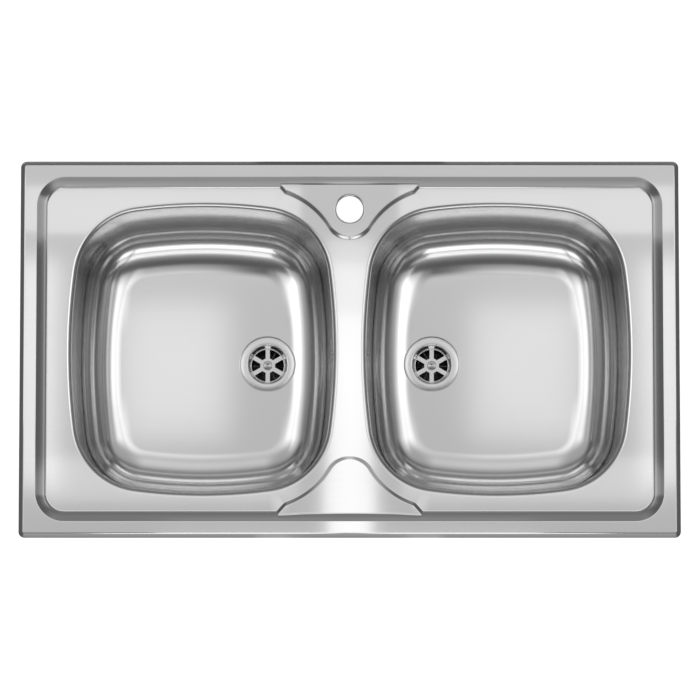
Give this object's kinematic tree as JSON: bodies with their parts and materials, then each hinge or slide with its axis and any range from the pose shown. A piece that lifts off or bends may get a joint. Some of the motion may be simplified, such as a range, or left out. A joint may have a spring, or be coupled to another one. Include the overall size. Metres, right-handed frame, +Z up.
{
  "type": "double bowl kitchen sink",
  "caption": "Inset kitchen sink pressed in brushed steel: two rounded bowls side by side, a tap ledge with hole, strainer wastes, overflows and swing-out rim clamps.",
  "frame": {"origin": "middle of the worktop cut-out, on the worktop's top surface under the rim", "axes": "+Z up, +X to the right along the length, +Y to the back, where the tap hole is"},
  "size_m": [0.86, 0.495, 0.2212],
  "materials": {
    "stainless_sheet": "fine satin brushed stainless steel",
    "strainer_steel": "polished stainless steel",
    "polished_screw": "polished stainless screw",
    "gasket_rubber": "soft black rubber",
    "black_plastic": "moulded black polypropylene",
    "pipe_plastic": "corrugated grey plastic pipe",
    "brass": "turned brass",
    "damping_rubber": "bitumen damping sheet",
    "sealing_foam": "closed-cell foam strip",
    "rail_steel": "plain folded strip",
    "zinc_plated_steel": "bright zinc plate"
  },
  "bodies": {
    "sink": {"back_left_rail": "rail_steel", "back_right_rail": "rail_steel", "clamp_brackets": "zinc_plated_steel", "deck": "stainless_sheet", "front_rail": "rail_steel", "left_body_gasket": "gasket_rubber", "left_bowl": "stainless_sheet", "left_damping_pad": "damping_rubber", "left_flange_gasket": "gasket_rubber", "left_insert_nut": "brass", "left_overflow_gasket": "gasket_rubber", "left_overflow_housing": "black_plastic", "left_overflow_pipe": "pipe_plastic", "left_overflow_screw": "polished_screw", "left_pipe_nuts": "black_plastic", "left_rail": "rail_steel", "left_strainer_cup": "strainer_steel", "left_strainer_screw": "polished_screw", "left_waste_body": "black_plastic", "right_body_gasket": "gasket_rubber", "right_bowl": "stainless_sheet", "right_damping_pad": "damping_rubber", "right_flange_gasket": "gasket_rubber", "right_insert_nut": "brass", "right_overflow_gasket": "gasket_rubber", "right_overflow_housing": "black_plastic", "right_overflow_pipe": "pipe_plastic", "right_overflow_screw": "polished_screw", "right_pipe_nuts": "black_plastic", "right_rail": "rail_steel", "right_strainer_cup": "strainer_steel", "right_strainer_screw": "polished_screw", "right_waste_body": "black_plastic", "rim_seal": "sealing_foam"},
    "clamp_1_screw": {"clamp_1_screw": "zinc_plated_steel"},
    "clamp_1_nut": {"clamp_1_nut": "zinc_plated_steel"},
    "clamp_1_arm": {"clamp_1_arm": "zinc_plated_steel"},
    "clamp_2_screw": {"clamp_2_screw": "zinc_plated_steel"},
    "clamp_2_nut": {"clamp_2_nut": "zinc_plated_steel"},
    "clamp_2_arm": {"clamp_2_arm": "zinc_plated_steel"},
    "clamp_3_screw": {"clamp_3_screw": "zinc_plated_steel"},
    "clamp_3_nut": {"clamp_3_nut": "zinc_plated_steel"},
    "clamp_3_arm": {"clamp_3_arm": "zinc_plated_steel"},
    "clamp_4_screw": {"clamp_4_screw": "zinc_plated_steel"},
    "clamp_4_nut": {"clamp_4_nut": "zinc_plated_steel"},
    "clamp_4_arm": {"clamp_4_arm": "zinc_plated_steel"},
    "clamp_5_screw": {"clamp_5_screw": "zinc_plated_steel"},
    "clamp_5_nut": {"clamp_5_nut": "zinc_plated_steel"},
    "clamp_5_arm": {"clamp_5_arm": "zinc_plated_steel"},
    "clamp_6_screw": {"clamp_6_screw": "zinc_plated_steel"},
    "clamp_6_nut": {"clamp_6_nut": "zinc_plated_steel"},
    "clamp_6_arm": {"clamp_6_arm": "zinc_plated_steel"},
    "clamp_7_screw": {"clamp_7_screw": "zinc_plated_steel"},
    "clamp_7_nut": {"clamp_7_nut": "zinc_plated_steel"},
    "clamp_7_arm": {"clamp_7_arm": "zinc_plated_steel"},
    "clamp_8_screw": {"clamp_8_screw": "zinc_plated_steel"},
    "clamp_8_nut": {"clamp_8_nut": "zinc_plated_steel"},
    "clamp_8_arm": {"clamp_8_arm": "zinc_plated_steel"}
  },
  "joints": [
    {"name": "clamp_1_turn", "type": "hinge", "parent": "sink", "child": "clamp_1_screw", "pos_m": [-0.215, -0.2195, -0.03], "axis": [0, 0, 1], "range_deg": [0, 9400]},
    {"name": "clamp_1_rise", "type": "slide", "parent": "sink", "child": "clamp_1_nut", "axis": [0, 0, 1], "range_m": [0, 0.026]},
    {"name": "clamp_1_swing", "type": "hinge", "parent": "clamp_1_nut", "child": "clamp_1_arm", "pos_m": [-0.215, -0.2195, -0.054], "axis": [0, 0, 1], "range_deg": [0, 90]},
    {"name": "clamp_2_turn", "type": "hinge", "parent": "sink", "child": "clamp_2_screw", "pos_m": [0.215, -0.2195, -0.03], "axis": [0, 0, 1], "range_deg": [0, 9400]},
    {"name": "clamp_2_rise", "type": "slide", "parent": "sink", "child": "clamp_2_nut", "axis": [0, 0, 1], "range_m": [0, 0.026]},
    {"name": "clamp_2_swing", "type": "hinge", "parent": "clamp_2_nut", "child": "clamp_2_arm", "pos_m": [0.215, -0.2195, -0.054], "axis": [0, 0, 1], "range_deg": [0, 90]},
    {"name": "clamp_3_turn", "type": "hinge", "parent": "sink", "child": "clamp_3_screw", "pos_m": [0.402, -0.12, -0.03], "axis": [0, 0, 1], "range_deg": [0, 9400]},
    {"name": "clamp_3_rise", "type": "slide", "parent": "sink", "child": "clamp_3_nut", "axis": [0, 0, 1], "range_m": [0, 0.026]},
    {"name": "clamp_3_swing", "type": "hinge", "parent": "clamp_3_nut", "child": "clamp_3_arm", "pos_m": [0.402, -0.12, -0.054], "axis": [0, 0, 1], "range_deg": [0, 90]},
    {"name": "clamp_4_turn", "type": "hinge", "parent": "sink", "child": "clamp_4_screw", "pos_m": [0.402, 0.12, -0.03], "axis": [0, 0, 1], "range_deg": [0, 9400]},
    {"name": "clamp_4_rise", "type": "slide", "parent": "sink", "child": "clamp_4_nut", "axis": [0, 0, 1], "range_m": [0, 0.026]},
    {"name": "clamp_4_swing", "type": "hinge", "parent": "clamp_4_nut", "child": "clamp_4_arm", "pos_m": [0.402, 0.12, -0.054], "axis": [0, 0, 1], "range_deg": [0, 90]},
    {"name": "clamp_5_turn", "type": "hinge", "parent": "sink", "child": "clamp_5_screw", "pos_m": [0.215, 0.2195, -0.03], "axis": [0, 0, 1], "range_deg": [0, 9400]},
    {"name": "clamp_5_rise", "type": "slide", "parent": "sink", "child": "clamp_5_nut", "axis": [0, 0, 1], "range_m": [0, 0.026]},
    {"name": "clamp_5_swing", "type": "hinge", "parent": "clamp_5_nut", "child": "clamp_5_arm", "pos_m": [0.215, 0.2195, -0.054], "axis": [0, 0, 1], "range_deg": [0, 90]},
    {"name": "clamp_6_turn", "type": "hinge", "parent": "sink", "child": "clamp_6_screw", "pos_m": [-0.215, 0.2195, -0.03], "axis": [0, 0, 1], "range_deg": [0, 9400]},
    {"name": "clamp_6_rise", "type": "slide", "parent": "sink", "child": "clamp_6_nut", "axis": [0, 0, 1], "range_m": [0, 0.026]},
    {"name": "clamp_6_swing", "type": "hinge", "parent": "clamp_6_nut", "child": "clamp_6_arm", "pos_m": [-0.215, 0.2195, -0.054], "axis": [0, 0, 1], "range_deg": [0, 90]},
    {"name": "clamp_7_turn", "type": "hinge", "parent": "sink", "child": "clamp_7_screw", "pos_m": [-0.402, 0.12, -0.03], "axis": [0, 0, 1], "range_deg": [0, 9400]},
    {"name": "clamp_7_rise", "type": "slide", "parent": "sink", "child": "clamp_7_nut", "axis": [0, 0, 1], "range_m": [0, 0.026]},
    {"name": "clamp_7_swing", "type": "hinge", "parent": "clamp_7_nut", "child": "clamp_7_arm", "pos_m": [-0.402, 0.12, -0.054], "axis": [0, 0, 1], "range_deg": [0, 90]},
    {"name": "clamp_8_turn", "type": "hinge", "parent": "sink", "child": "clamp_8_screw", "pos_m": [-0.402, -0.12, -0.03], "axis": [0, 0, 1], "range_deg": [0, 9400]},
    {"name": "clamp_8_rise", "type": "slide", "parent": "sink", "child": "clamp_8_nut", "axis": [0, 0, 1], "range_m": [0, 0.026]},
    {"name": "clamp_8_swing", "type": "hinge", "parent": "clamp_8_nut", "child": "clamp_8_arm", "pos_m": [-0.402, -0.12, -0.054], "axis": [0, 0, 1], "range_deg": [0, 90]}
  ],
  "couplings": [
    {"joint": "clamp_1_turn", "follows": "clamp_1_rise", "rad_per_m": 6283.2},
    {"joint": "clamp_2_turn", "follows": "clamp_2_rise", "rad_per_m": 6283.2},
    {"joint": "clamp_3_turn", "follows": "clamp_3_rise", "rad_per_m": 6283.2},
    {"joint": "clamp_4_turn", "follows": "clamp_4_rise", "rad_per_m": 6283.2},
    {"joint": "clamp_5_turn", "follows": "clamp_5_rise", "rad_per_m": 6283.2},
    {"joint": "clamp_6_turn", "follows": "clamp_6_rise", "rad_per_m": 6283.2},
    {"joint": "clamp_7_turn", "follows": "clamp_7_rise", "rad_per_m": 6283.2},
    {"joint": "clamp_8_turn", "follows": "clamp_8_rise", "rad_per_m": 6283.2}
  ]
}
